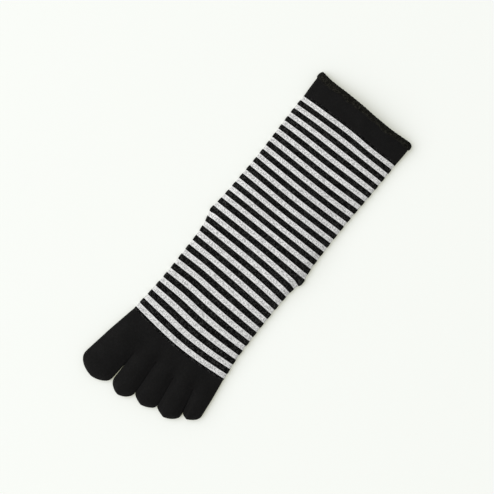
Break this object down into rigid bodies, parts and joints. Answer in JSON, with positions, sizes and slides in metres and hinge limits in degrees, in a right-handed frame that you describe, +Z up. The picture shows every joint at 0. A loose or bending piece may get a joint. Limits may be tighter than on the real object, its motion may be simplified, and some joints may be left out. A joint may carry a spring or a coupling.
{
  "type": "toe sock",
  "caption": "Knitted sock with a separate pocket for each toe, lying flat: turned cuff hem, striped leg and foot, folded heel and plain toe pockets.",
  "frame": {"origin": "centre of the bounding box at the base, where the sock lies on the ground", "axes": "+Z up out of the top of the foot, +Y from the toes to the mouth of the cuff, +X towards the little toe"},
  "size_m": [0.1032, 0.3062, 0.0131],
  "materials": {
    "black_knit": "matte knit",
    "striped_knit": "matte knit, black and pale grey stripes"
  },
  "bodies": {
    "root": {"cuff_hem": "black_knit", "cuff_band": "black_knit", "leg_tube": "striped_knit", "heel_pouch": "black_knit", "foot_tube": "striped_knit", "toe_box": "black_knit", "big_toe": "black_knit", "second_toe": "black_knit", "third_toe": "black_knit", "fourth_toe": "black_knit", "little_toe": "black_knit"}
  },
  "joints": []
}
